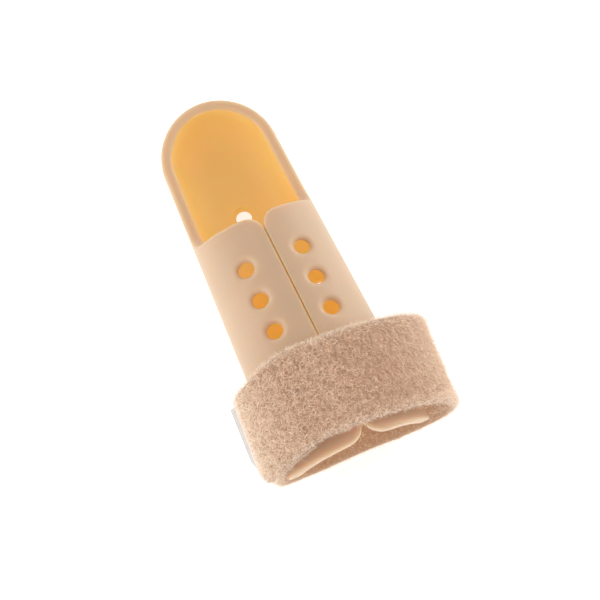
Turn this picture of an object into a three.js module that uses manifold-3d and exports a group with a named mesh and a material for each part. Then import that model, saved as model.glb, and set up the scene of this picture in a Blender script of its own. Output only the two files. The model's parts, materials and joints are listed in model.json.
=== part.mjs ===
// A mallet-finger splint in millimetres, +Z up, lying on its palm side: a moulded shell with an
// open nail window, a plush loop strap wrapped round its open end, and the hook tab under the
// strap's free end. X runs along the finger with the tip at +X; +Y is the finger's left side.
import * as THREE from "three";
import { mergeVertices } from "three/addons/utils/BufferGeometryUtils.js";
import Module from "manifold-3d";

const wasm = await Module();
wasm.setup();

// Shell: distances along it are measured from the tip
const shellLength = 66;
const mouthWidth = 24.7;
const collarWidth = 21.1; // where the flaps begin
const tipRadius = 9.8; // length of the rounded tip
const crownRise = 0.91; // height above the widest level, as a share of half the width
const soleDrop = 0.85; // depth below it, as the same share
const wall = 1.9;
const soleFlatness = 2.4; // 2 is an ellipse, more is squarer

// Nail window and flaps
const flapStart = 24; // the flaps' front edge at the rim
const flapLean = 0.7; // how far that edge leans back up to the crown
const rimHeight = 0.6; // rim of the window above the widest level
const rimFillet = 2.2;
const slitWidth = 0.18;
const slitDrift = 1.25; // how far it wanders to the right by the open end
const frontCornerRadius = 3;
const backCornerRadius = 3.3;

// Open end: the sole is cut back so that the next knuckle can bend
const soleCutBack = 11;
const cheekDepth = 2; // side walls reach this far below the widest level
const cheekRadius = 5;
const cutFillet = 3.5;

// Ventilation holes, all drawn straight up as the mould opens
const dorsalHoleWidth = 2.7;
const dorsalHoleSpread = 4.85; // from the slit
const dorsalHoleStart = 32.5;
const dorsalHolePitch = 5.7;
const dorsalHoleCount = 3;
const soleHoleWidth = 2.6;
const soleHoles = [
  { along: 19.4, across: 0 },
  { along: 36.6, across: 6.3 },
  { along: 36.6, across: -6.3 },
];

// Strap
const strapWidth = 16;
const strapThickness = 1.6;
const strapSetback = 17.8; // from the open end to its front edge, on top of the finger
const strapSkew = 1.2; // how much further back it lies at the finger's sides
const freeEndDroop = 2.2; // and at its free end
const droopEndAngle = 75;
const freeEndAngle = 17; // angles go round the finger from its left side, over the top
const innerEndAngle = 420;
const freeCornerRadius = 3.2;
const strapRounding = 0.5;
const tabThickness = 0.5;
const tabReach = 1.5; // how far it runs on past the strap's free end
const tabFlare = 1.9; // how far its own end stands up off the strap under it
const tabLength = 10;
const tabInset = 1.2; // from the strap's long edges
const tabCornerRadius = 5;
const clearance = 0.3;
const sideBulge = 5.2; // the strap's front edge stands this much off the right side
const sideBulgeBack = 3.5; // and its back edge this much
const soleSag = 1.8; // and this much where it is laid flat on the surface
const endLift = 0.3; // how far the free end springs up at its front corner
const endLiftBack = 0.8; // and at its back corner
const endLiftSpan = 40;

const strapStart = shellLength - strapSetback;
const lapGap = clearance + strapThickness + clearance + tabThickness + clearance;
const tabGap = clearance + strapThickness + clearance;

// Where the strap stands loose of the shell
const looseStretches = [
  { middle: 188, halfSpan: 95, front: sideBulge, back: sideBulgeBack },
  { middle: 268, halfSpan: 55, front: soleSag, back: soleSag },
  { middle: freeEndAngle, halfSpan: endLiftSpan, front: endLift, back: endLiftBack },
];
const lapEnd = 58; // past this the strap comes down off its own inner end
const lapRunOut = 100;

// Resolution
const ringSteps = 56;
const tipSteps = 7;
const bodySteps = 5;
const holeSides = 14;
const bandStep = 6; // degrees
const arcSteps = 5;

const radians = (degrees) => (degrees * Math.PI) / 180;
const degrees = (angle) => (angle * 180) / Math.PI;
const lerp = THREE.MathUtils.lerp;

// Falls smoothly from 1 at 0 to nothing at 1 or -1
const fade = (share) => (1 + Math.cos(Math.min(1, Math.abs(share)) * Math.PI)) / 2;

// The shell's half width, as if its straight sides ran on to the tip
function fullHalfWidth(along) {
  const share = (along - flapStart) / (shellLength - flapStart);
  return lerp(collarWidth, mouthWidth, share) / 2;
}

// Its sole climbs from the floor under the tip to the top of the strap that lies under it
function widestLevel(along) {
  const place = Math.max(along, tipRadius);
  const climb = (strapThickness + clearance) / (strapStart - tipRadius);
  return fullHalfWidth(place) * soleDrop + climb * (place - tipRadius);
}

// A point of the shell's section: inset is how far it lies inside the outer surface
function sectionPoint(along, angle, inset = 0) {
  const reach = tipRadius - inset;
  const into = Math.min(1, Math.max(0, (along - inset) / reach));
  const taper = Math.sqrt(1 - (1 - into) ** 2);
  const half = fullHalfWidth(along);
  const c = Math.cos(angle);
  const s = Math.sin(angle);
  const power = s < 0 ? 2 / soleFlatness : 1;
  const depth = (s < 0 ? soleDrop : crownRise) * half - inset;
  return {
    y: (half - inset) * taper * Math.sign(c) * Math.abs(c) ** power,
    z: widestLevel(along) + depth * taper * Math.sign(s) * Math.abs(s) ** power,
  };
}

// A closed mesh from equal rings of points, with a fan on each end
function skin(rings) {
  const count = rings[0].length;
  const positions = rings.flat().flatMap((p) => [p.x, p.y, p.z]);
  const index = [];
  for (let row = 0; row + 1 < rings.length; row++)
    for (let i = 0; i < count; i++) {
      const next = (i + 1) % count;
      const [a, b] = [row * count + i, row * count + next];
      const [c, d] = [a + count, b + count];
      index.push(a, b, d, a, d, c);
    }
  for (const [row, flip] of [[0, true], [rings.length - 1, false]]) {
    const centre = positions.length / 3;
    const mid = new THREE.Vector3();
    rings[row].forEach((p) => mid.add(p));
    mid.divideScalar(count);
    positions.push(mid.x, mid.y, mid.z);
    for (let i = 0; i < count; i++) {
      const [a, b] = [row * count + i, row * count + ((i + 1) % count)];
      index.push(...(flip ? [b, a, centre] : [a, b, centre]));
    }
  }
  const geometry = new THREE.BufferGeometry();
  geometry.setAttribute("position", new THREE.Float32BufferAttribute(positions, 3));
  geometry.setIndex(index);
  return geometry;
}

function toSolid(geometry) {
  const bare = geometry.clone();
  bare.deleteAttribute("normal");
  bare.deleteAttribute("uv");
  const merged = mergeVertices(bare, 1e-4);
  const mesh = new wasm.Mesh({
    numProp: 3,
    vertProperties: merged.attributes.position.array,
    triVerts: new Uint32Array(merged.index.array),
  });
  return new wasm.Manifold(mesh);
}

function fromSolid(solid) {
  const { vertProperties, triVerts } = solid.getMesh();
  const geometry = new THREE.BufferGeometry();
  geometry.setAttribute("position", new THREE.Float32BufferAttribute(vertProperties, 3));
  geometry.setIndex(Array.from(triVerts));
  return geometry;
}

// The outer body, or with an inset the hollow that runs out through the open end
function fingerForm(inset, end) {
  const places = [];
  for (let i = 0; i <= tipSteps; i++) {
    const lean = (i / tipSteps) * (Math.PI / 2);
    places.push(inset + (tipRadius - inset) * (1 - Math.cos(Math.max(lean, 0.04))));
  }
  for (let i = 1; i <= bodySteps; i++) places.push(lerp(tipRadius, end, i / bodySteps));
  const rings = places.map((along) => {
    const ring = [];
    for (let i = 0; i < ringSteps; i++) {
      const { y, z } = sectionPoint(along, (i / ringSteps) * 2 * Math.PI, inset);
      ring.push(new THREE.Vector3(-along, y, z));
    }
    return ring;
  });
  return toSolid(skin(rings.reverse()));
}

// A cutter drawn from the side (along, height) and run right across the part
function sideCutter(shape) {
  const span = mouthWidth * 2;
  const geometry = new THREE.ExtrudeGeometry(shape, {
    depth: span,
    bevelEnabled: false,
    curveSegments: arcSteps,
  });
  geometry.translate(0, 0, -span / 2);
  geometry.rotateX(Math.PI / 2);
  return toSolid(geometry);
}

// Takes the top off the shell from the tip to the flaps' front edge
function windowCutter() {
  const rim = (along) => widestLevel(along) + rimHeight;
  const top = widestLevel(flapStart) + mouthWidth;
  const crown = widestLevel(flapStart) + crownRise * fullHalfWidth(flapStart);
  const leanAt = (z) => (flapLean * (z - rim(flapStart))) / (crown - rim(flapStart));
  const shape = new THREE.Shape();
  shape.moveTo(tipRadius, rim(tipRadius));
  shape.lineTo(-flapStart + rimFillet, rim(flapStart));
  shape.quadraticCurveTo(
    -flapStart,
    rim(flapStart),
    -flapStart - leanAt(rim(flapStart) + rimFillet),
    rim(flapStart) + rimFillet,
  );
  shape.lineTo(-flapStart - leanAt(top), top);
  shape.lineTo(tipRadius, top);
  return sideCutter(shape);
}

// Trims the open end: square across the flaps, round at the cheeks, cut back under the sole
function mouthCutter() {
  const level = widestLevel(shellLength);
  const cheek = level - cheekDepth;
  const back = -shellLength - mouthWidth;
  const soleEnd = -shellLength + soleCutBack;
  const shape = new THREE.Shape();
  shape.moveTo(back, level + mouthWidth);
  shape.lineTo(-shellLength, level + mouthWidth);
  shape.lineTo(-shellLength, cheek + cheekRadius);
  shape.quadraticCurveTo(-shellLength, cheek, -shellLength + cheekRadius, cheek);
  shape.lineTo(soleEnd - cutFillet, cheek);
  shape.quadraticCurveTo(soleEnd, cheek, soleEnd, cheek - cutFillet);
  shape.lineTo(soleEnd, -mouthWidth);
  shape.lineTo(back, -mouthWidth);
  return sideCutter(shape);
}

// Parts the two flaps, with their corners rounded where the slit opens at each end
function slitCutter() {
  const front = -flapStart - flapLean;
  const back = -shellLength;
  const half = slitWidth / 2;
  const beyond = 3;
  const shape = new THREE.Shape();
  shape.moveTo(front + beyond, -half - frontCornerRadius);
  shape.lineTo(front + beyond, half + frontCornerRadius);
  shape.lineTo(front, half + frontCornerRadius);
  shape.absarc(
    front - frontCornerRadius, half + frontCornerRadius, frontCornerRadius,
    0, -Math.PI / 2, true,
  );
  shape.absarc(
    back + backCornerRadius, half + backCornerRadius, backCornerRadius,
    -Math.PI / 2, -Math.PI, true,
  );
  shape.lineTo(back - beyond, half + backCornerRadius);
  shape.lineTo(back - beyond, -half - backCornerRadius);
  shape.lineTo(back, -half - backCornerRadius);
  shape.absarc(
    back + backCornerRadius, -half - backCornerRadius, backCornerRadius,
    Math.PI, Math.PI / 2, true,
  );
  shape.absarc(
    front - frontCornerRadius, -half - frontCornerRadius, frontCornerRadius,
    Math.PI / 2, 0, true,
  );
  const geometry = new THREE.ExtrudeGeometry(shape, {
    depth: mouthWidth,
    bevelEnabled: false,
    curveSegments: arcSteps,
  });
  geometry.translate(0, 0, widestLevel(shellLength));
  const skew = new THREE.Matrix4();
  skew.elements[1] = slitDrift / shellLength;
  geometry.applyMatrix4(skew);
  return toSolid(geometry);
}

// The section angle at which the upper or lower surface is this far across
function angleAcross(along, across, side) {
  const power = side < 0 ? soleFlatness / 2 : 1;
  const share = Math.abs(across) / fullHalfWidth(along);
  const turn = Math.acos(share ** power);
  return side * (across < 0 ? Math.PI - turn : turn);
}

// A round upright hole through the upper or lower wall
function holeCutter(along, across, side, width) {
  const { z } = sectionPoint(along, angleAcross(along, across, side));
  const geometry = new THREE.CylinderGeometry(width / 2, width / 2, wall * 4, holeSides);
  geometry.rotateX(Math.PI / 2);
  geometry.translate(-along, across, z);
  return toSolid(geometry);
}

function shellGeometry() {
  let solid = fingerForm(0, shellLength + wall).subtract(
    fingerForm(wall, shellLength + wall * 2),
  );
  for (const cutter of [windowCutter(), mouthCutter(), slitCutter()])
    solid = solid.subtract(cutter);
  for (let i = 0; i < dorsalHoleCount; i++)
    for (const side of [1, -1]) {
      const along = dorsalHoleStart + i * dorsalHolePitch;
      const across = side * dorsalHoleSpread;
      solid = solid.subtract(holeCutter(along, across, 1, dorsalHoleWidth));
    }
  for (const { along, across } of soleHoles)
    solid = solid.subtract(holeCutter(along, across, -1, soleHoleWidth));
  return fromSolid(solid);
}

// The stand-off of the strap's inner face at an angle, between its front and back edges
function strapGap(angle, share) {
  const runOut = THREE.MathUtils.smoothstep(angle, lapEnd, lapRunOut);
  let gap = lerp(lapGap, clearance, runOut);
  for (const { middle, halfSpan, front, back } of looseStretches)
    gap += lerp(front, back, share) * fade((angle - middle) / halfSpan);
  return gap;
}

// How much further back the strap lies at an angle than on top of the finger
function strapShift(angle) {
  const side = angle < 90 ? 0 : strapSkew * Math.cos(radians(angle)) ** 2;
  return side + freeEndDroop * fade((angle - freeEndAngle) / (droopEndAngle - freeEndAngle));
}

// A point of the strap or tab: share runs from the front edge to the back one, and stand is
// the distance from the shell, kept so that nothing of the strap dips below the floor
function bandPoint(angle, share, stand, floor) {
  const turn = radians(angle);
  const along = strapStart + strapShift(angle) + share * strapWidth;
  const { y, z } = sectionPoint(along, turn);
  return new THREE.Vector3(
    -along,
    y + stand * Math.cos(turn),
    Math.max(z + stand * Math.sin(turn), floor),
  );
}

// How much an end's rounded back corner takes off the width at a distance from that end
function cornerLoss(distance, r) {
  const short = Math.max(0, r - distance);
  return (r - Math.sqrt(r * r - short * short)) / strapWidth;
}

// A band round the shell from one angle to another, rounded at its long edges
function bandGeometry({ from, to, thickness, rounding, inset, cornerRadius, gapAt }) {
  const steps = Math.ceil((to - from) / bandStep);
  const rings = [];
  const edge = rounding / strapWidth;
  const front = inset / strapWidth;
  const radius = fullHalfWidth(strapStart + strapWidth / 2) + gapAt(from, 0);
  const angles = [];
  for (let i = 0; i < arcSteps; i++) {
    const run = cornerRadius * (1 - Math.cos((i / arcSteps) * (Math.PI / 2)));
    angles.push(from + degrees(run / radius));
  }
  const cornerEnd = from + degrees(cornerRadius / radius);
  for (let i = 0; i <= steps; i++) angles.push(lerp(cornerEnd, to, i / steps));
  for (const angle of angles) {
    const back = 1 - front - cornerLoss(radians(angle - from) * radius, cornerRadius);
    const middle = (front + back) / 2;
    const row = (share, stand) =>
      bandPoint(angle, share, gapAt(angle, share) + stand, thickness - stand);
    rings.push([
      row(front, rounding),
      row(front, thickness - rounding),
      row(front + edge, thickness),
      row(middle, thickness),
      row(back - edge, thickness),
      row(back, thickness - rounding),
      row(back, rounding),
      row(back - edge, 0),
      row(middle, 0),
      row(front + edge, 0),
    ]);
  }
  return skin(rings);
}

function strapGeometry() {
  return bandGeometry({
    from: freeEndAngle,
    to: innerEndAngle,
    thickness: strapThickness,
    rounding: strapRounding,
    inset: 0,
    cornerRadius: freeCornerRadius,
    gapAt: strapGap,
  });
}

function tabGeometry() {
  const radius = fullHalfWidth(strapStart + strapWidth / 2) + tabGap;
  const from = freeEndAngle - degrees(tabReach / radius);
  return bandGeometry({
    from,
    to: from + degrees(tabLength / radius),
    thickness: tabThickness,
    rounding: tabThickness / 4,
    inset: tabInset,
    cornerRadius: tabCornerRadius,
    gapAt: (angle) =>
      tabGap + tabFlare * (1 - THREE.MathUtils.smoothstep(angle, from, freeEndAngle)),
  });
}

function material(colour, roughness) {
  return new THREE.MeshStandardMaterial({ color: colour, roughness, metalness: 0 });
}

function add(group, name, geometry, finish) {
  const mesh = new THREE.Mesh(geometry, finish);
  geometry.computeVertexNormals();
  mesh.name = name;
  group.add(mesh);
}

const splint = new THREE.Group();
add(splint, "splint_shell", shellGeometry(), material(0xe3bf98, 0.4));
add(splint, "strap", strapGeometry(), material(0xd2ab90, 1));
add(splint, "hook_tab", tabGeometry(), material(0xe9e2dc, 0.6));

// The origin is the middle of the part's footprint, on the surface that it lies on
const box = new THREE.Box3().setFromObject(splint);
splint.position.set(-(box.min.x + box.max.x) / 2, -(box.min.y + box.max.y) / 2, -box.min.z);

export default splint;
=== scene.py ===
# A mallet-finger splint: moulded see-through plastic shell, plush loop strap and hook tab.
import json
import math

import bpy
import numpy as np
from mathutils import Matrix, Vector

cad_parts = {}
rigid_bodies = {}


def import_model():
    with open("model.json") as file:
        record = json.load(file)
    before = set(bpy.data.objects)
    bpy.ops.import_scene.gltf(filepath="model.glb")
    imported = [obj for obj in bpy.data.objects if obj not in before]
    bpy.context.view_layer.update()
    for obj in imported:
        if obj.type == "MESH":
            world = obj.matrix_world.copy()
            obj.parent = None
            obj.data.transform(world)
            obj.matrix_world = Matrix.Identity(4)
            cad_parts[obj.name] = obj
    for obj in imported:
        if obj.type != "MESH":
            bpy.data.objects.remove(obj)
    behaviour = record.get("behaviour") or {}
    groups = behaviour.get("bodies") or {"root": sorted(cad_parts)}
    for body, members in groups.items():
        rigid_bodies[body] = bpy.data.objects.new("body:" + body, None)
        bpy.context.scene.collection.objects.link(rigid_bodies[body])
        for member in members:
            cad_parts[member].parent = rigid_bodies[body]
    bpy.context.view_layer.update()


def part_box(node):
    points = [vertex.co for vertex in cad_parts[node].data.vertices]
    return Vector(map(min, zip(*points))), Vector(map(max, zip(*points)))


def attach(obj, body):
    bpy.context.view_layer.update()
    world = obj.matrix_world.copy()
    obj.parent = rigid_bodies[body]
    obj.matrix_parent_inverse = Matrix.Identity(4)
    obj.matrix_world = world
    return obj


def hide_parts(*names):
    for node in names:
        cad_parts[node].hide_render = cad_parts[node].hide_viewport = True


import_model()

mm = 0.001
rng = np.random.default_rng(7)
print("finger splint: frame loaded")

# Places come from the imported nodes. Lengths below are millimetres in the splint's own frame,
# where along is measured back from the tip and y from the middle of the shell. Angles are degrees
# round the finger from its left side, over the top.
shellLow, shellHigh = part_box("splint_shell")
tipX = shellHigh.x / mm
middleY = (shellLow.y + shellHigh.y) / 2 / mm


def lerp(a, b, t):
    return a + (b - a) * t


def smoothstep(x, low, high):
    t = np.clip((x - low) / (high - low), 0, 1)
    return t * t * (3 - 2 * t)


def toFrame(along, y, z):
    return np.stack([tipX - along, y + middleY, z], -1) * mm


def makeObject(name, points, faces, material, smooth=True):
    mesh = bpy.data.meshes.new(name)
    mesh.from_pydata([tuple(p) for p in points], [], [tuple(f) for f in faces])
    mesh.validate()
    obj = bpy.data.objects.new(name, mesh)
    bpy.context.scene.collection.objects.link(obj)
    mesh.polygons.foreach_set("use_smooth", [smooth] * len(mesh.polygons))
    if material:
        mesh.materials.append(material)
    return obj


def store(obj, name, values):
    kind = "FLOAT_VECTOR" if np.ndim(values) == 2 else "FLOAT"
    layer = obj.data.attributes.new(name, kind, "POINT")
    layer.data.foreach_set("vector" if kind == "FLOAT_VECTOR" else "value",
                           np.ascontiguousarray(values, np.float32).ravel())


# Materials
def linear(hexColour):
    parts = [int(hexColour[i:i + 2], 16) / 255 for i in (1, 3, 5)]
    return tuple(c / 12.92 if c <= 0.04045 else ((c + 0.055) / 1.055) ** 2.4 for c in parts) + (1,)


def addNode(tree, kind, settings=None, inputs=None):
    node = tree.nodes.new(kind)
    for key, value in (settings or {}).items():
        setattr(node, key, value)
    for key, value in (inputs or {}).items():
        if isinstance(value, bpy.types.NodeSocket):
            tree.links.new(value, node.inputs[key])
        else:
            node.inputs[key].default_value = value
    return node


def newMaterial(name):
    material = bpy.data.materials.new(name)
    material.use_nodes = True
    tree = material.node_tree
    tree.nodes.clear()
    return material, tree


def finishMaterial(tree, shader, height=None, distance=0.1 * mm, strength=1.0):
    if height is not None:
        bump = addNode(tree, "ShaderNodeBump", inputs={
            "Strength": strength, "Distance": distance, "Height": height})
        tree.links.new(bump.outputs[0], shader.inputs["Normal"])
    out = addNode(tree, "ShaderNodeOutputMaterial")
    tree.links.new(shader.outputs[0], out.inputs[0])


shellLook = {
    # inside and glow are painted light: a warmer lit tint and an emission for light through the wall
    "outside": "#d8bb9b", "inside": "#e3c888", "glow": "#e0a834", "glowStrength": 0.24,
    "lightReach": 2.2 * mm,
}
pileLook = {
    # root is painted shade deep in the pile, tip is painted light at the fibre tips
    "root": "#c49f84", "tip": "#eedbc6", "selvageAndLitSide": "#efe3d3", "ground": "#d0b095",
    # strength of a painted glow (emission) on every fibre, for light scattered in the pile
    "paintedScatterGlow": 0.235,
}


def attribute(tree, name):
    return addNode(tree, "ShaderNodeAttribute", {"attribute_name": name}).outputs["Fac"]


def mixColour(tree, share, low, high, blend="MIX"):
    mixed = addNode(tree, "ShaderNodeMix", {"data_type": "RGBA", "blend_type": blend}, {
        0: share, 6: low, 7: high})
    return mixed.outputs[2]


def noise(tree, scale, detail):
    place = addNode(tree, "ShaderNodeTexCoord")
    return addNode(tree, "ShaderNodeTexNoise", inputs={
        "Vector": place.outputs["Object"], "Scale": scale, "Detail": detail}).outputs["Fac"]


def shellPlastic():
    # Injection-moulded polypropylene, satin: light soaks through the wall, so the outside shows pale
    # skin tones.
    # The warm amber inside tint and the glow (emission) are painted light for the light that comes
    # through:
    # inside the shell, down the slit, on the rim and at the bottom of each hole
    material, tree = newMaterial("moulded polypropylene")
    paintedGlow = attribute(tree, "paintedGlow")
    tint = mixColour(tree, paintedGlow, linear(shellLook["outside"]), linear(shellLook["inside"]))
    drift = addNode(tree, "ShaderNodeMapRange", inputs={
        "Value": noise(tree, 120.0, 3.0), "From Min": 0.3, "From Max": 0.7,
        "To Min": 0.97, "To Max": 1.02})
    colour = mixColour(tree, 1.0, tint, drift.outputs[0], "MULTIPLY")
    # painted glow: an emission where the light through the wall is painted in
    glow = addNode(tree, "ShaderNodeMath", {"operation": "MULTIPLY"}, {
        0: paintedGlow, 1: shellLook["glowStrength"]})
    shader = addNode(tree, "ShaderNodeBsdfPrincipled", inputs={
        "Base Color": colour, "Roughness": 0.4, "IOR": 1.49,
        "Subsurface Weight": 1.0, "Subsurface Scale": shellLook["lightReach"],
        "Emission Color": linear(shellLook["glow"]), "Emission Strength": glow.outputs[0]})
    shader.inputs["Subsurface Radius"].default_value = (1.0, 0.6, 0.35)
    finishMaterial(tree, shader, noise(tree, 2500.0, 2.0), 0.01 * mm, 0.4)
    return material


def strapBase():
    # Knitted ground of a brushed-loop strap: matte; its darker root colour, mottled by noise, is
    # painted shade from the pile above it
    material, tree = newMaterial("brushed loop ground")
    tuft = noise(tree, 1400.0, 4.0)
    tint = mixColour(tree, tuft, linear(pileLook["root"]), linear(pileLook["ground"]))
    colour = mixColour(tree, attribute(tree, "welded"), tint, linear("#f0dccb"))
    shader = addNode(tree, "ShaderNodeBsdfPrincipled", inputs={
        "Base Color": colour, "Roughness": 0.95, "Sheen Weight": 0.2})
    finishMaterial(tree, shader, tuft, 0.2 * mm, 0.8)
    return material


def pileFibre():
    # Fine nylon loops, brushed open: matte and fluffy. The darker root and paler tip are painted
    # shade and painted light down each fibre; paler also at the edges, and on the right side as
    # painted light
    material, tree = newMaterial("nylon pile")
    tint = mixColour(tree, attribute(tree, "tip"), linear(pileLook["root"]), linear(pileLook["tip"]))
    # paler at the edges (selvage) and on the right side (painted light)
    pale = mixColour(tree, attribute(tree, "selvageAndLitSide"), tint, linear(pileLook["selvageAndLitSide"]))
    drift = addNode(tree, "ShaderNodeMapRange", inputs={
        "Value": attribute(tree, "shade"), "To Min": 0.8, "To Max": 1.12})
    colour = mixColour(tree, 1.0, pale, drift.outputs[0], "MULTIPLY")
    # the emission is a painted glow for light scattered through the pile
    shader = addNode(tree, "ShaderNodeBsdfPrincipled", inputs={
        "Base Color": colour, "Roughness": 0.9, "Specular IOR Level": 0.1,
        "Emission Color": colour, "Emission Strength": pileLook["paintedScatterGlow"]})
    finishMaterial(tree, shader)
    return material


def hookTape():
    # Thin cloudy hook tape: milky on its face, greyer along its cut edge
    material, tree = newMaterial("hook tape")
    cloud = noise(tree, 900.0, 2.0)
    tint = mixColour(tree, cloud, linear("#e6e0da"), linear("#f6f2ee"))
    colour = mixColour(tree, attribute(tree, "cutEdge"), tint, linear("#aaa3a4"))
    shader = addNode(tree, "ShaderNodeBsdfPrincipled", inputs={
        "Base Color": colour, "Roughness": 0.45, "IOR": 1.49})
    finishMaterial(tree, shader, cloud, 0.03 * mm, 0.4)
    return material


def weldMark():
    # Loop cloth melted flat by the welding horn: smoother and paler than the pile round it
    material, tree = newMaterial("melted loop")
    tint = mixColour(tree, noise(tree, 1800.0, 2.0), linear("#f6dccf"), linear("#fdf0e8"))
    shader = addNode(tree, "ShaderNodeBsdfPrincipled", inputs={
        "Base Color": tint, "Roughness": 0.5})
    finishMaterial(tree, shader)
    return material


plastic = shellPlastic()
groundCloth = strapBase()
fibreStuff = pileFibre()
tapeStuff = hookTape()
meltedStuff = weldMark()
print("finger splint: materials made")

# Shell
shell = {
    "length": 66.0, "mouthWidth": 24.7, "collarWidth": 21.1, "tipRadius": 9.8,
    "crownRise": 0.91, "soleDrop": 0.85, "wall": 1.9, "soleFlatness": 2.4,
    "flapStart": 24.0, "flapLean": 0.7, "rimHeight": 0.6,
    "slitWidth": 0.18, "slitDrift": 1.25, "frontCorner": 3.0, "backCorner": 3.3,
    "soleCutBack": 11.0, "cheekDepth": 2.0, "cutFillet": 3.5,
    "holeWidth": 2.55, "holeSpread": 4.85, "holeStart": 32.5, "holePitch": 5.7, "holeCount": 3,
    "soleHoleWidth": 2.6, "soleHoles": [(19.4, 0.0), (36.6, 6.3), (36.6, -6.3)],
    "rimSoftness": 0.8, "flapSoftness": 0.5, "lipSoftness": 0.4,
    "holeSoftness": 1.1, "slitSoftness": 0.3, "windowFillet": 3.52, "cheekFillet": 6.0,
    "cell": 0.36, "slitCell": 0.13, "slitCellReach": 0.55,  # spacing of the mesh
    # how strong and how far the painted glow reaches down the slit, on the rim and in the sole
    "slitGlow": 0.45, "rimGlow": 0.14, "glowEdge": 3.0, "soleGlowBelow": 2.0,
}
strap = {
    "width": 16.0, "thickness": 1.6, "setback": 17.8, "skew": 1.2,
    "freeEndDroop": 2.2, "droopEnd": 75.0, "freeEnd": 17.0, "innerEnd": 420.0,
    "cornerRadius": 3.2, "clearance": 0.3, "lapEnd": 58.0, "lapRunOut": 100.0,
    "pileDepth": 0.45, "edgePile": 0.3, "innerNap": 0.3, "rounding": 0.4, "endMargin": 0.35,
    "weldWidth": 1.7,
    "flatLength": 101.0,  # run of the strap at half its thickness
}
strap["start"] = shell["length"] - strap["setback"]
looseStretches = [
    {"middle": 188.0, "halfSpan": 95.0, "front": 5.2, "back": 3.5},  # bulge on the right side
    {"middle": 268.0, "halfSpan": 55.0, "front": 1.8, "back": 1.8},  # laid flat on the surface
    {"middle": strap["freeEnd"], "halfSpan": 40.0, "front": 0.3, "back": 0.8},  # springs up
]
tab = {
    "thickness": 0.5, "reach": 1.5, "length": 10.0, "flare": 1.9, "inset": 1.2,
    "cornerRadius": 5.0,
}


def slitShift(along):
    return shell["slitDrift"] * along / shell["length"]


def fullHalfWidth(along):
    share = (along - shell["flapStart"]) / (shell["length"] - shell["flapStart"])
    return lerp(shell["collarWidth"], shell["mouthWidth"], share) / 2


def widestLevel(along):
    place = np.maximum(along, shell["tipRadius"])
    climb = (strap["thickness"] + strap["clearance"]) / (strap["start"] - shell["tipRadius"])
    return fullHalfWidth(place) * shell["soleDrop"] + climb * (place - shell["tipRadius"])


def fingerForm(inset):
    def field(along, y, z):
        half = fullHalfWidth(along) - inset
        rise = shell["crownRise"] * fullHalfWidth(along) - inset
        drop = shell["soleDrop"] * fullHalfWidth(along) - inset
        up = z - widestLevel(along)
        n = shell["soleFlatness"]
        above = (y / half) ** 2 + (up / rise) ** 2
        below = (np.abs(y / half) ** n + np.abs(up / drop) ** n) ** (2 / n)
        into = 1 - (along - inset) / (shell["tipRadius"] - inset)
        return np.sqrt(np.where(up > 0, above, below) + np.maximum(into, 0) ** 2) - 1
    return field


def asDistance(field, along, y, z, step=0.05):
    slope = 0
    for move in ((step, 0, 0), (0, step, 0), (0, 0, step)):
        ahead = field(along + move[0], y + move[1], z + move[2])
        behind = field(along - move[0], y - move[1], z - move[2])
        slope = slope + ((ahead - behind) / (2 * step)) ** 2
    return field(along, y, z) / np.sqrt(np.maximum(slope, 1e-6))


def softMax(a, b, k):
    h = np.clip(0.5 + 0.5 * (a - b) / k, 0, 1)
    return lerp(b, a, h) + k * h * (1 - h)


def softMin(a, b, k):
    return -softMax(-a, -b, k)


def sectionPoint(along, angle):
    half = fullHalfWidth(along)
    c, s = np.cos(angle), np.sin(angle)
    power = np.where(s < 0, 2 / shell["soleFlatness"], 1.0)
    depth = np.where(s < 0, shell["soleDrop"], shell["crownRise"]) * half
    y = half * np.sign(c) * np.abs(c) ** power
    z = widestLevel(along) + depth * np.sign(s) * np.abs(s) ** power
    return y, z


def wallLevel(along, across, side):
    # height of the upper or lower outer surface at a place
    power = shell["soleFlatness"] if side < 0 else 2
    rise = shell["soleDrop"] if side < 0 else shell["crownRise"]
    half = fullHalfWidth(along)
    share = (1 - (abs(across) / half) ** power) ** (1 / power)
    return widestLevel(along) + side * rise * half * share


def holeField(along, y, z, place, width, side):
    bore = np.hypot(along - place[0], y - place[1]) - width / 2
    return np.maximum(bore, np.abs(z - wallLevel(*place, side)) - 2 * shell["wall"])


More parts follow.
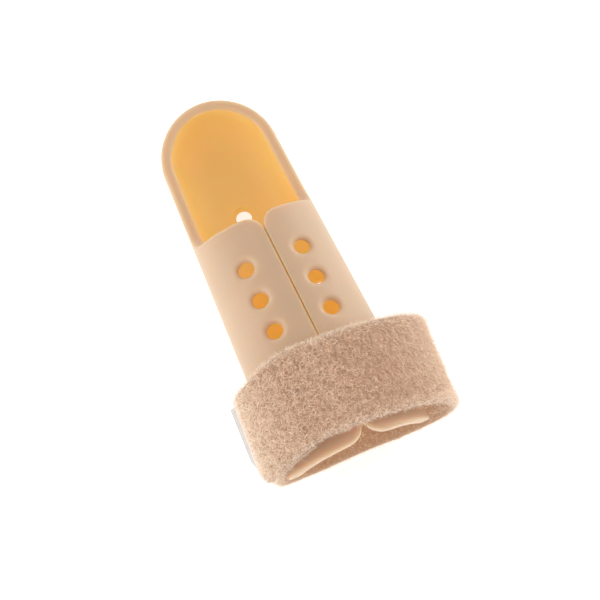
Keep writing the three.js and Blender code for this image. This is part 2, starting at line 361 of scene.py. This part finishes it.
def shellField(along, y, z):
    outer = asDistance(fingerForm(0), along, y, z)
    inner = asDistance(fingerForm(shell["wall"]), along, y, z)
    body = np.maximum(outer, -inner)
    level = widestLevel(along)

    # nail window
    rim = widestLevel(shell["flapStart"]) + shell["rimHeight"]
    rimSlope = (rim - widestLevel(0) - shell["rimHeight"]) / (shell["flapStart"] + shell["tipRadius"])
    rimAt = rim - rimSlope * (shell["flapStart"] - along)
    crown = widestLevel(shell["flapStart"]) + shell["crownRise"] * fullHalfWidth(shell["flapStart"])
    edge = shell["flapStart"] + shell["flapLean"] * (z - rim) / (crown - rim)
    window = softMax(rimAt - z, along - edge, shell["windowFillet"])
    towardsFlap = smoothstep(along, shell["flapStart"] - 4, shell["flapStart"] - 1)
    body = softMax(body, -window, lerp(shell["rimSoftness"], shell["flapSoftness"], towardsFlap))

    # open end, its cheeks and the cut-back sole
    cheek = widestLevel(shell["length"]) - shell["cheekDepth"]
    square = shell["length"] - along
    under = softMax(z - cheek, shell["length"] - shell["soleCutBack"] - along, shell["cutFillet"])
    mouth = softMin(square, under, shell["cheekFillet"])
    body = softMax(body, -mouth, shell["lipSoftness"])

    # slit between the flaps, with its corners rounded at both ends
    front = np.clip(edge + shell["frontCorner"] - along, 0, shell["frontCorner"])
    back = np.clip(along - shell["length"] + shell["backCorner"], 0, shell["backCorner"])
    flare = shell["frontCorner"] - np.sqrt(shell["frontCorner"] ** 2 - front ** 2)
    flare = flare + shell["backCorner"] - np.sqrt(shell["backCorner"] ** 2 - back ** 2)
    slit = np.abs(y + slitShift(along))
    slit -= shell["slitWidth"] / 2 + flare
    slit = np.maximum(slit * np.where(flare > 0, 0.8, 1.0), level - z)
    slit = np.maximum(slit, edge - shell["frontCorner"] - along)
    body = softMax(body, -slit, shell["slitSoftness"])

    for i in range(shell["holeCount"]):
        for side in (1, -1):
            place = (shell["holeStart"] + i * shell["holePitch"], side * shell["holeSpread"])
            hole = holeField(along, y, z, place, shell["holeWidth"], 1)
            body = softMax(body, -hole, shell["holeSoftness"])
    for place in shell["soleHoles"]:
        hole = holeField(along, y, z, place, shell["soleHoleWidth"], -1)
        body = softMax(body, -hole, shell["holeSoftness"])
    return body


def unevenSteps(end, coarse, fine, fineEnd):
    # places across the part, closer together near the slit
    points, place = [0.0], 0.0
    while place < end:
        place += fine if place < fineEnd else coarse
        points.append(place)
    right = np.array(points)
    return np.concatenate([-right[:0:-1], right])


def surfaceNet(field, xs, ys, zs):
    grid = field(*np.meshgrid(xs, ys, zs, indexing="ij"))
    inside = grid < 0
    shape = np.array(grid.shape) - 1
    total = np.zeros(tuple(shape) + (3,))
    count = np.zeros(tuple(shape))
    axes = (xs, ys, zs)
    spans = [slice(0, n) for n in shape]
    for axis in range(3):
        others = [a for a in range(3) if a != axis]
        for i in (0, 1):
            for j in (0, 1):
                start = [0, 0, 0]
                start[others[0]], start[others[1]] = i, j
                end = list(start)
                end[axis] = 1
                a = grid[tuple(slice(s, s + n) for s, n in zip(start, shape))]
                b = grid[tuple(slice(s, s + n) for s, n in zip(end, shape))]
                cross = (a < 0) != (b < 0)
                t = np.where(cross, a / np.where(cross, a - b, 1), 0)
                count += cross
                for k in range(3):
                    line = axes[k]
                    base = line[start[k]:start[k] + shape[k]]
                    view = [1, 1, 1]
                    view[k] = -1
                    base = base.reshape(view)
                    if k == axis:
                        ahead = line[1:].reshape(view)
                        total[..., k] += np.where(cross, base + t * (ahead - base), 0)
                    else:
                        total[..., k] += np.where(cross, base, 0)
    used = count > 0
    index = np.full(tuple(shape), -1)
    index[used] = np.arange(used.sum())
    points = total[used] / count[used][:, None]
    faces = []
    for axis in range(3):
        u, v = [(1, 2), (2, 0), (0, 1)][axis]
        a = np.moveaxis(inside, (axis, u, v), (0, 1, 2))
        cell = np.moveaxis(index, (axis, u, v), (0, 1, 2))
        here, ahead = a[:-1, 1:-1, 1:-1], a[1:, 1:-1, 1:-1]
        for flip, chosen in ((False, here & ~ahead), (True, ~here & ahead)):
            i, j, k = np.nonzero(chosen)
            corners = ((0, 0), (1, 0), (1, 1), (0, 1))
            quad = np.stack([cell[i, j + b, k + c] for b, c in corners], 1)
            faces.append(quad[:, ::-1] if flip else quad)
    return points, np.concatenate(faces)


def settle(field, points, rounds=4, step=0.02, longest=0.12):
    # moves each point on to the surface, by no more than the longest move in a round
    for _ in range(rounds):
        value = field(*points.T)
        slope = np.stack([
            (field(*(points + move).T) - field(*(points - move).T)) / (2 * step)
            for move in np.eye(3) * step], 1)
        size = np.maximum((slope ** 2).sum(1), 0.05)
        shift = slope * (value / size)[:, None]
        length = np.maximum(np.linalg.norm(shift, axis=1), 1e-9)
        points = points - shift * (np.minimum(length, longest) / length)[:, None]
    return points


def makeShell():
    cell = shell["cell"]
    reach = shell["mouthWidth"] / 2 + 1
    xs = np.arange(-1, shell["length"] + 1, cell)
    ys = unevenSteps(reach, cell, shell["slitCell"], shell["slitCellReach"])
    top = widestLevel(shell["length"]) + shell["crownRise"] * shell["mouthWidth"] / 2
    zs = np.arange(-1, top + 1, cell)
    # the grid leans with the slit, so that its fine middle follows it
    points, faces = surfaceNet(lambda a, y, z: shellField(a, y - slitShift(a), z), xs, ys, zs)
    points[:, 1] -= slitShift(points[:, 0])
    points = settle(shellField, points)
    along, y, z = points.T
    obj = makeObject("shell", toFrame(along, y, z), faces[:, ::-1], plastic)
    outer = asDistance(fingerForm(0), along, y, z)
    depth = -outer / shell["wall"]
    # painted glow and warmer tint, where painted warm light stands in for light through the wall:
    # inside, down the slit, in the sole's holes and a little on the rim
    flap, edge = shell["flapStart"], shell["glowEdge"]
    seam = 1 - smoothstep(np.abs(y + slitShift(along)), 0.2, 0.45)
    seam = seam * smoothstep(depth, 0.02, 0.25) * smoothstep(along, flap, flap + edge)
    above = z - widestLevel(along)
    deep = np.where(above < -shell["soleGlowBelow"],
                    smoothstep(depth, 0.3, 0.8), smoothstep(depth, 0.9, 1.0))
    onRim = smoothstep(above, shell["rimHeight"] - 0.6, shell["rimHeight"] - 0.2)
    onRim = onRim * (1 - smoothstep(along, flap - edge, flap))
    paintedGlow = np.maximum(deep, onRim * shell["rimGlow"])
    paintedGlow = np.maximum(paintedGlow, np.where(above > 0, seam * shell["slitGlow"], 0))
    store(obj, "paintedGlow", paintedGlow)
    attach(obj, "root")
    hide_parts("splint_shell")
    print("shell:", len(points), "points,", len(faces) * 2, "triangles")
    return obj


shellPiece = makeShell()

# Strap and tab
lapGap = 3 * strap["clearance"] + strap["thickness"] + tab["thickness"]
tabGap = 2 * strap["clearance"] + strap["thickness"]


def fade(share):
    return (1 + np.cos(np.minimum(1, np.abs(share)) * math.pi)) / 2


def strapGap(angle, share):
    gap = lerp(lapGap, strap["clearance"], smoothstep(angle, strap["lapEnd"], strap["lapRunOut"]))
    for row in looseStretches:
        loose = lerp(row["front"], row["back"], share)
        gap = gap + loose * fade((angle - row["middle"]) / row["halfSpan"])
    return gap


def strapShift(angle):
    side = np.where(angle < 90, 0, strap["skew"] * np.cos(np.radians(angle)) ** 2)
    drooping = (angle - strap["freeEnd"]) / (strap["droopEnd"] - strap["freeEnd"])
    return side + strap["freeEndDroop"] * fade(drooping)


def bandPoint(angle, place, stand, floor):
    # place is how far behind the strap's front edge, stand how far off the shell
    turn = np.radians(angle)
    along = strap["start"] + strapShift(angle) + place
    y, z = sectionPoint(along, turn)
    z = np.maximum(z + stand * np.sin(turn), floor)
    return toFrame(along, y + stand * np.cos(turn), z)


def cornerLoss(distance, r):
    short = np.clip(r - distance, 0, r)
    return r - np.sqrt(r * r - short * short)


def bandRadius(gap):
    return fullHalfWidth(strap["start"] + strap["width"] / 2) + gap


def bandSection(thickness, rounding, across):
    # (share of the width, margin from the long edge, stand) round the section
    turns = np.linspace(0, math.pi / 2, 5)
    nose = [(rounding * (1 - math.cos(t)), rounding * (1 - math.sin(t))) for t in turns]
    flat = np.linspace(0, 1, across)[1:-1]
    ring = [(0, m, thickness - h) for m, h in nose]
    ring += [(s, rounding * (1 - 2 * s), thickness) for s in flat]
    ring += [(1, -m, thickness - h) for m, h in nose[::-1]]
    ring += [(1, -m, h) for m, h in nose]
    ring += [(s, rounding * (1 - 2 * s), 0.0) for s in flat[::-1]]
    ring += [(0, m, h) for m, h in nose[::-1]]
    return np.array(ring)


def makeBand(name, material, start, end, low, high, rounding, inset, cornerRadius, gapAt):
    # a band round the shell between two stand-offs, its back corner rounded at the start
    radius = bandRadius(gapAt(start, 0))
    corner = math.degrees(cornerRadius / radius)
    fine = start + corner * (1 - np.cos(np.linspace(0, math.pi / 2, 12)))
    coarse = np.linspace(fine[-1], end, int((end - fine[-1]) / 2) + 2)[1:]
    angles = np.concatenate([fine, coarse])
    ring = bandSection(high - low, rounding, 30)
    angle, share = np.meshgrid(angles, ring[:, 0], indexing="ij")
    back = strap["width"] - inset - cornerLoss(np.radians(angle - start) * radius, cornerRadius)
    place = lerp(inset, back, share) + ring[:, 1]
    stand = np.broadcast_to(ring[:, 2], share.shape)
    gap = gapAt(angle, place / strap["width"])
    points = bandPoint(angle, place, gap + low + stand, high - stand)
    rows, count = share.shape
    faces = [tuple(range(count))[::-1]]
    faces.append(tuple((rows - 1) * count + i for i in range(count)))
    for r in range(rows - 1):
        for i in range(count):
            j = (i + 1) % count
            faces.append((r * count + i, r * count + j, (r + 1) * count + j, (r + 1) * count + i))
    obj = makeObject(name, points.reshape(-1, 3), faces, material)
    facesOut(obj)
    edge = np.minimum(place - inset, back - place)
    run = np.radians(angle - start) * radius
    return obj, {key: value.ravel() for key, value in (
        ("angle", angle), ("stand", stand / (high - low)), ("edge", edge), ("run", run))}


def facesOut(obj):
    mesh = obj.data
    mesh.calc_loop_triangles()
    co = np.array([v.co for v in mesh.vertices])
    tri = np.array([t.vertices[:] for t in mesh.loop_triangles])
    a, b, c = co[tri[:, 0]], co[tri[:, 1]], co[tri[:, 2]]
    if np.einsum("ij,ij->i", a, np.cross(b, c)).sum() < 0:
        mesh.flip_normals()


tabStart = strap["freeEnd"] - math.degrees(tab["reach"] / bandRadius(tabGap))


def tabGapAt(angle, share=0):
    return tabGap + tab["flare"] * (1 - smoothstep(angle, tabStart, strap["freeEnd"]))


def makeStrap():
    # the knitted ground, set in from the strap's full size by the depth of its pile
    start = strap["freeEnd"] + math.degrees(strap["endMargin"] / bandRadius(lapGap))
    obj, at = makeBand(
        "strap_ground", groundCloth, start, strap["innerEnd"], strap["innerNap"],
        strap["thickness"] - strap["pileDepth"], strap["rounding"], strap["edgePile"],
        strap["cornerRadius"], strapGap)
    angle, stand, edge, run = at["angle"], at["stand"], at["edge"], at["run"]
    outward = smoothstep(stand, 0.25, 0.7)
    toEnd = np.minimum(run, np.hypot(edge, run))
    welded = 1 - smoothstep(toEnd, strap["weldWidth"] * 0.7, strap["weldWidth"])
    welded = welded * outward
    # cover is the share of the fibres that grow: fewer inside, hardly any where it is welded
    cover = lerp(pile["innerCover"], 1.0, outward) * lerp(1.0, pile["weldedCover"], welded)
    under = (angle > 360 + tabStart + 2) & (stand > 0.6)  # its outside, beneath the tab
    covered = (angle < strap["innerEnd"] - 360 + 2) & (stand < 0.4)  # its inside, over the lap
    cover[under | covered] = 0
    store(obj, "cover", cover)
    # nap is the fibres' size there
    nap = lerp(pile["innerNap"], 1.0, outward) * lerp(1.0, pile["weldedNap"], welded)
    store(obj, "nap", nap * lerp(pile["edgeNap"], 1.0, smoothstep(edge, 0.0, 1.2)))
    # combed along the finger, most of all on the right side
    side = smoothstep(angle, 85.0, 125.0) * (1 - smoothstep(angle, 215.0, 260.0))
    comb = np.zeros((len(angle), 3))
    comb[:, 0] = -pile["comb"] * lerp(0.15, 1.0, side) * outward * smoothstep(edge, 0.3, 2.5)
    store(obj, "comb", comb)
    # paler along the edges and towards the free end; paler on the right side too, as painted light
    pale = (1 - smoothstep(edge, 0.2, 1.3)) * pile["selvageAndLitSide"]
    pale = np.maximum(pale, (1 - smoothstep(run, 1.0, 13.0)) * pile["endPaleness"])
    # painted light: the right side made paler
    pale = np.maximum(pale, smoothstep(angle, 115.0, 165.0) * pile["paintedSideLight"])
    store(obj, "selvageAndLitSide", pale)
    store(obj, "welded", welded)
    return obj


def makeTab():
    end = tabStart + math.degrees(tab["length"] / bandRadius(tabGap))
    obj, at = makeBand(
        "hook_tab_tape", tapeStuff, tabStart, end, 0.0, tab["thickness"],
        tab["thickness"] / 4, tab["inset"], tab["cornerRadius"], tabGapAt)
    store(obj, "cutEdge", 1 - smoothstep(at["run"], 0.05, 0.25))
    return obj


# Pile
pile = {
    "length": 1.2, "width": 0.08, "rise": 0.5, "clumping": 0.8, "lean": 0.9, "comb": 1.9,
    # the paleness on the right side, set below, is painted light
    "segments": 4, "selvageAndLitSide": 0.6, "endPaleness": 0.65, "paintedSideLight": 0.35,
    "innerCover": 0.6, "weldedCover": 0.04, "innerNap": 0.6, "weldedNap": 0.25, "edgeNap": 0.62,
    "clumpSize": 0.75, "clumpStretch": 3.0, "perSquareMm": 9.5, "layers": 4, "shapes": 8,
}


def fibreShapes():
    group = bpy.data.collections.new("fibre shapes")
    for n in range(pile["shapes"]):
        curl = rng.uniform(0.2, 1.0)
        turn = rng.uniform(-0.8, 0.8)
        length, half = pile["length"] * mm, pile["width"] * mm / 2
        points, faces, tips = [], [], []
        for i in range(pile["segments"] + 1):
            t = i / pile["segments"]
            bend = curl * t * t * length * 0.8
            rise = length * (t - 0.35 * curl * t * t)
            side = turn * math.sin(t * math.pi) * length * 0.4
            w = half * (1 - 0.4 * t)
            points += [(side - w, bend, rise), (side + w, bend, rise)]
            tips += [t, t]
            if i:
                faces.append((2 * i - 2, 2 * i - 1, 2 * i + 1, 2 * i))
        mesh = bpy.data.meshes.new("fibre")
        mesh.from_pydata(points, [], faces)
        mesh.polygons.foreach_set("use_smooth", [True] * len(faces))
        fibre = bpy.data.objects.new("fibre%d" % n, mesh)
        store(fibre, "tip", tips)
        group.objects.link(fibre)
    return group


def newTree(name, inputs):
    tree = bpy.data.node_groups.new(name, "GeometryNodeTree")
    face = tree.interface
    for label, kind in [("Geometry", "Geometry")] + inputs:
        face.new_socket(label, in_out="INPUT", socket_type="NodeSocket" + kind)
    face.new_socket("Geometry", in_out="OUTPUT", socket_type="NodeSocketGeometry")
    return tree, addNode(tree, "NodeGroupInput").outputs


def named(tree, name, kind="FLOAT"):
    return addNode(tree, "GeometryNodeInputNamedAttribute", {"data_type": kind}, {
        "Name": name}).outputs[0]


def maths(tree, operation, a, b):
    return addNode(tree, "ShaderNodeMath", {"operation": operation}, {0: a, 1: b}).outputs[0]


def vectorMaths(tree, operation, a, b):
    return addNode(tree, "ShaderNodeVectorMath", {"operation": operation}, {
        0: a, 1: b}).outputs[0]


def scaled(tree, vector, scale):
    return addNode(tree, "ShaderNodeVectorMath", {"operation": "SCALE"}, {
        0: vector, "Scale": scale}).outputs[0]


def randomVector(tree, low, high, seed):
    return addNode(tree, "FunctionNodeRandomValue", {"data_type": "FLOAT_VECTOR"}, {
        0: low, 1: high, "Seed": seed}).outputs[0]


def randomFloat(tree, low, high, seed):
    return addNode(tree, "FunctionNodeRandomValue", {"data_type": "FLOAT"}, {
        2: low, 3: high, "Seed": seed}).outputs[1]


def pileTree():
    tree, given = newTree("brushed pile", [
        ("Density", "Float"), ("Rise", "Float"), ("Lean", "Float"), ("Clumping", "Float"),
        ("Clump Scale", "Vector"), ("Seed", "Int"), ("Shapes", "Int"),
        ("Fibres", "Collection"), ("Material", "Material")])
    dense = maths(tree, "MULTIPLY", given["Density"], named(tree, "cover"))
    spread = addNode(tree, "GeometryNodeDistributePointsOnFaces", inputs={
        "Mesh": given["Geometry"], "Density": dense, "Seed": given["Seed"]})
    place = addNode(tree, "GeometryNodeInputPosition").outputs[0]
    tufts = addNode(tree, "ShaderNodeTexNoise", inputs={
        "Vector": vectorMaths(tree, "MULTIPLY", place, given["Clump Scale"]),
        "Scale": 1.0, "Detail": 1.0})
    centred = vectorMaths(tree, "SUBTRACT", tufts.outputs["Color"], (0.5, 0.5, 0.5))
    clump = scaled(tree, centred, maths(tree, "MULTIPLY", given["Clumping"], 4.0))
    stray = scaled(tree, randomVector(tree, (-1.0,) * 3, (1.0,) * 3, given["Seed"]), given["Lean"])
    lean = vectorMaths(tree, "ADD", vectorMaths(tree, "ADD", clump, stray),
                       named(tree, "comb", "FLOAT_VECTOR"))
    up = spread.outputs["Normal"]
    lift = addNode(tree, "ShaderNodeVectorMath", {"operation": "DOT_PRODUCT"}, {
        0: lean, 1: up}).outputs["Value"]
    laid = vectorMaths(tree, "SUBTRACT", lean, scaled(tree, up, lift))
    stand = vectorMaths(tree, "ADD", scaled(tree, up, given["Rise"]), laid)
    aim = addNode(tree, "FunctionNodeAlignRotationToVector", {"axis": "Z"}, {"Vector": stand})
    twist = randomVector(tree, (0.0, 0.0, 0.0), (0.0, 0.0, 2 * math.pi), given["Seed"])
    turned = addNode(tree, "FunctionNodeRotateRotation", {"rotation_space": "LOCAL"}, {
        0: aim.outputs[0], 1: twist})
    size = maths(tree, "MULTIPLY", randomFloat(tree, 0.6, 1.2, given["Seed"]), named(tree, "nap"))
    shapes = addNode(tree, "GeometryNodeCollectionInfo", inputs={
        "Collection": given["Fibres"], "Separate Children": True, "Reset Children": True})
    choice = addNode(tree, "FunctionNodeRandomValue", {"data_type": "INT"}, {
        4: 0, 5: given["Shapes"], "Seed": given["Seed"]})
    planted = addNode(tree, "GeometryNodeInstanceOnPoints", inputs={
        "Points": spread.outputs["Points"], "Instance": shapes.outputs[0], "Pick Instance": True,
        "Instance Index": choice.outputs[2], "Rotation": turned.outputs[0], "Scale": size})
    shaded = storedOnEach(tree, planted.outputs[0], "shade", "FLOAT",
                          randomFloat(tree, 0.0, 1.0, given["Seed"]))
    dress(tree, shaded, given["Material"])
    return tree


def plantedTree():
    # one small shape on every point of a mesh, standing along "out" and turned towards "run"
    tree, given = newTree("planted rows", [("Shape", "Object"), ("Material", "Material")])
    upright = addNode(tree, "FunctionNodeAlignRotationToVector", {"axis": "Z"}, {
        "Vector": named(tree, "out", "FLOAT_VECTOR")})
    turned = addNode(tree, "FunctionNodeAlignRotationToVector", {"axis": "Y", "pivot_axis": "Z"}, {
        "Rotation": upright.outputs[0], "Vector": named(tree, "run", "FLOAT_VECTOR")})
    shape = addNode(tree, "GeometryNodeObjectInfo", inputs={"Object": given["Shape"]})
    planted = addNode(tree, "GeometryNodeInstanceOnPoints", inputs={
        "Points": given["Geometry"], "Instance": shape.outputs["Geometry"],
        "Rotation": turned.outputs[0]})
    dress(tree, planted.outputs[0], given["Material"])
    return tree


def storedOnEach(tree, instances, name, kind, value):
    return addNode(tree, "GeometryNodeStoreNamedAttribute", {
        "data_type": kind, "domain": "INSTANCE"}, {
            "Geometry": instances, "Name": name, "Value": value}).outputs[0]


def dress(tree, geometry, material):
    real = addNode(tree, "GeometryNodeRealizeInstances", inputs={"Geometry": geometry})
    dressed = addNode(tree, "GeometryNodeSetMaterial", inputs={
        "Geometry": real.outputs[0], "Material": material})
    addNode(tree, "NodeGroupOutput", inputs={0: dressed.outputs[0]})


def grown(base, tree, values, name):
    # the result of a geometry node tree on a base mesh, as a plain mesh object
    modifier = base.modifiers.new(name, "NODES")
    modifier.node_group = tree
    sockets = {s.name: s.identifier for s in tree.interface.items_tree if s.in_out == "INPUT"}
    for key, value in values.items():
        modifier[sockets[key]] = value
    seen = bpy.context.evaluated_depsgraph_get()
    mesh = bpy.data.meshes.new_from_object(base.evaluated_get(seen), depsgraph=seen)
    base.modifiers.remove(modifier)
    mesh.name = name
    obj = bpy.data.objects.new(name, mesh)
    bpy.context.scene.collection.objects.link(obj)
    print(name, "faces", len(mesh.polygons))
    return obj


def keepOffFloor(obj):
    mesh = obj.data
    co = np.empty(len(mesh.vertices) * 3, np.float32)
    mesh.vertices.foreach_get("co", co)
    co = co.reshape(-1, 3)
    co[:, 2] = np.maximum(co[:, 2], 0.02 * mm)
    mesh.vertices.foreach_set("co", co.ravel())
    mesh.update()


def makePile(ground):
    tree, shapes = pileTree(), fibreShapes()
    across = 1000 / pile["clumpSize"]
    made = []
    for n in range(pile["layers"]):
        obj = grown(ground, tree, {
            "Density": pile["perSquareMm"] * 1e6, "Rise": pile["rise"], "Lean": pile["lean"],
            "Clumping": pile["clumping"],
            "Clump Scale": (across / pile["clumpStretch"], across, across),
            "Seed": 11 + n, "Shapes": pile["shapes"] - 1, "Fibres": shapes,
            "Material": fibreStuff}, "strap_pile_%d" % (n + 1))
        keepOffFloor(obj)
        made.append(obj)
    for fibre in list(shapes.objects):
        bpy.data.objects.remove(fibre)
    return made


# Weld marks along the free end, and the tab's hooks
weld = {
    "pitch": 0.84, "inset": 0.95, "length": 0.8, "width": 0.42, "height": 0.22,
    "from": 3.5, "bend": 80.0,  # from this place back, and so far round the corner
}
hooks = {"pitch": 0.62, "height": 0.26, "thickness": 0.09, "margin": 0.7}


def roundedPad(length, width, height):
    # a flattened dome
    points, faces = [(0, 0, height)], []
    sides, rings = 10, 3
    for r in range(1, rings + 1):
        slope = r / rings * math.pi / 2
        for s in range(sides):
            turn = s / sides * 2 * math.pi
            points.append((length / 2 * math.sin(slope) * math.cos(turn),
                           width / 2 * math.sin(slope) * math.sin(turn),
                           height * math.cos(slope)))
    for s in range(sides):
        faces.append((0, 1 + s, 1 + (s + 1) % sides))
        for r in range(rings - 1):
            a, b = 1 + r * sides + s, 1 + r * sides + (s + 1) % sides
            faces.append((a, a + sides, b + sides, b))
    last = 1 + (rings - 1) * sides
    faces.append(tuple(last + s for s in range(sides))[::-1])
    return points, faces


def hookShape():
    # a four-sided stem that bends over into a hook
    points, faces = [], []
    rings = 6
    for r in range(rings):
        t = r / (rings - 1)
        bend = max(0.0, t - 0.4) / 0.6 * 2.4
        x = 0.3 * (1 - math.cos(bend))
        z = min(t, 0.4) / 0.4 * 0.7 + 0.3 * math.sin(bend)
        half = hooks["thickness"] / 2 * (1 - 0.5 * t)
        for dx, dy in ((-1, -1), (1, -1), (1, 1), (-1, 1)):
            points.append((x * hooks["height"] + dx * half * math.cos(bend), dy * half,
                           z * hooks["height"] - dx * half * math.sin(bend)))
    for r in range(rings - 1):
        for s in range(4):
            a, b = r * 4 + s, r * 4 + (s + 1) % 4
            faces.append((a, b, b + 4, a + 4))
    last = (rings - 1) * 4
    faces += [(3, 2, 1, 0), (last, last + 1, last + 2, last + 3)]
    return points, faces


def plant(name, shape, angles, places, stands, material, outSign=1):
    # shapes standing off the band's surface at the given angles and places
    step, floor, fingerMiddle = 0.5, 0.05, np.array([0, middleY, 12.0]) * mm
    here = bandPoint(angles, places, stands, floor)
    onward = bandPoint(angles + step, places, stands, floor) - here
    back = bandPoint(angles, places + step, stands, floor) - here
    out = np.cross(back, onward)
    out /= np.linalg.norm(out, axis=1)[:, None]
    if (out * (here - fingerMiddle))[:, 1:].sum() < 0:
        out = -out
    base = makeObject("base", here, [], None)
    store(base, "out", out * outSign)
    store(base, "run", onward / np.linalg.norm(onward, axis=1)[:, None])
    points, faces = shape
    mould = makeObject("mould", np.array(points) * mm, faces, None)
    obj = grown(base, plantedTree(), {"Shape": mould, "Material": material}, name)
    bpy.data.objects.remove(base)
    bpy.data.objects.remove(mould)
    return obj


def makeWelds():
    # they follow the free end and its rounded corner at an even distance
    radius, corner, width = bandRadius(lapGap), strap["cornerRadius"], strap["width"]
    straight = width - corner - weld["from"]
    bendRadius = corner - weld["inset"]
    run = np.arange(0, straight + bendRadius * math.radians(weld["bend"]), weld["pitch"])
    turn = np.clip((run - straight) / bendRadius, 0, math.pi / 2)
    distance = corner - bendRadius * np.cos(turn)
    place = np.where(run < straight, weld["from"] + run,
                     width - corner + bendRadius * np.sin(turn))
    angle = strap["freeEnd"] + np.degrees(distance / radius)
    stand = strapGap(angle, place / width) + strap["thickness"] - strap["pileDepth"]
    shape = roundedPad(weld["width"], weld["length"], weld["height"])
    return plant("weld_marks", shape, angle, place, stand, meltedStuff)


def makeHooks():
    radius = bandRadius(tabGap)
    run = np.arange(hooks["margin"], tab["length"] - hooks["margin"], hooks["pitch"])
    across = np.arange(tab["inset"] + hooks["margin"],
                       strap["width"] - tab["inset"] - hooks["margin"], hooks["pitch"])
    run, place = [v.ravel() for v in np.meshgrid(run, across)]
    loss = cornerLoss(run, tab["cornerRadius"])
    kept = place < strap["width"] - tab["inset"] - hooks["margin"] - loss
    run, place = run[kept], place[kept]
    angle = tabStart + np.degrees(run / radius)
    return plant("tab_hooks", hookShape(), angle, place, tabGapAt(angle), tapeStuff, -1)


strapPiece = makeStrap()
tabPiece = makeTab()
piles = makePile(strapPiece)
weldMarks = makeWelds()
tabHooks = makeHooks()
for piece, slotName in ((strapPiece, "plush_strap"), (tabPiece, "hook_tape"),
                        (weldMarks, "plush_strap"), (tabHooks, "hook_tape")):
    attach(piece, "root")
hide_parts("strap")
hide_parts("hook_tab")
for piece in piles:
    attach(piece, "root")
print("finger splint: strap, tab, pile, weld marks and hooks made")


# Floor, light and camera
studio = {
    "aimAlong": 38.1, "aimAcross": -2.01, "aimHeight": 8.94, "distance": 341.0,
    "tiltBack": 14.09, "leanLeft": 6.25, "roll": -24.8, "pixelsPerMm": 6.123,
    "zenith": 0.55, "horizon": 1.15, "floorGlow": 0.5, "sideLight": 0.8,
}


def makeFloor():
    size = 2.0
    points = [(-size, -size, 0), (size, -size, 0), (size, size, 0), (-size, size, 0)]
    # Opal sheet lit a little from below, so that shadows on it stay faint
    material, tree = newMaterial("opal light table")
    shader = addNode(tree, "ShaderNodeBsdfPrincipled", inputs={
        "Base Color": linear("#f5f5f5"), "Roughness": 0.9,
        "Emission Color": (1, 1, 1, 1), "Emission Strength": studio["floorGlow"]})
    finishMaterial(tree, shader)
    floor = makeObject("floor", points, [(0, 1, 2, 3)], material, smooth=False)


def areaLight(name, place, aim, size, power):
    data = bpy.data.lights.new(name, "AREA")
    data.energy = power
    data.shape = "DISK"
    data.size = size
    light = bpy.data.objects.new(name, data)
    light.location = Vector(place)
    light.rotation_euler = (Vector(aim) - Vector(place)).to_track_quat("-Z", "Y").to_euler()
    bpy.context.scene.collection.objects.link(light)


def makeLight():
    # A tent: brighter round the horizon than overhead, with a soft light low on either side
    world = bpy.data.worlds.new("studio")
    bpy.context.scene.world = world
    world.use_nodes = True
    tree = world.node_tree
    towards = addNode(tree, "ShaderNodeTexCoord").outputs["Generated"]
    height = addNode(tree, "ShaderNodeSeparateXYZ", inputs={0: towards}).outputs["Z"]
    level = addNode(tree, "ShaderNodeMapRange", inputs={
        "Value": height, "To Min": studio["horizon"], "To Max": studio["zenith"]})
    background = tree.nodes["Background"]
    background.inputs[0].default_value = (1, 1, 1, 1)
    tree.links.new(level.outputs[0], background.inputs[1])
    areaLight("left", (0.0, 0.6, 0.2), (0, 0, 0.01), 0.4, studio["sideLight"])
    areaLight("right", (0.1, -0.6, 0.2), (0, 0, 0.01), 0.4, studio["sideLight"])
    bpy.context.scene.view_settings.view_transform = "Standard"


def makeCamera():
    tilt, lean = math.radians(studio["tiltBack"]), math.radians(studio["leanLeft"])
    back = Vector((-math.tan(tilt), math.tan(lean), 1)).normalized()
    right = Vector((1, 0, 0)).cross(back).normalized()
    up = back.cross(right)
    roll = math.radians(studio["roll"])
    across = right * math.cos(roll) + up * math.sin(roll)
    upward = up * math.cos(roll) - right * math.sin(roll)
    data = bpy.data.cameras.new("camera")
    data.sensor_width = 36
    data.lens = studio["pixelsPerMm"] * studio["distance"] / 600 * 36
    data.clip_start = 0.01
    camera = bpy.data.objects.new("camera", data)
    aim = Vector(toFrame(studio["aimAlong"], studio["aimAcross"], studio["aimHeight"]))
    turn = Matrix((across, upward, back)).transposed().to_4x4()
    camera.matrix_world = Matrix.Translation(aim + back * studio["distance"] * mm) @ turn
    bpy.context.scene.collection.objects.link(camera)
    bpy.context.scene.camera = camera


makeFloor()
makeLight()
makeCamera()

print("finger splint: finished")
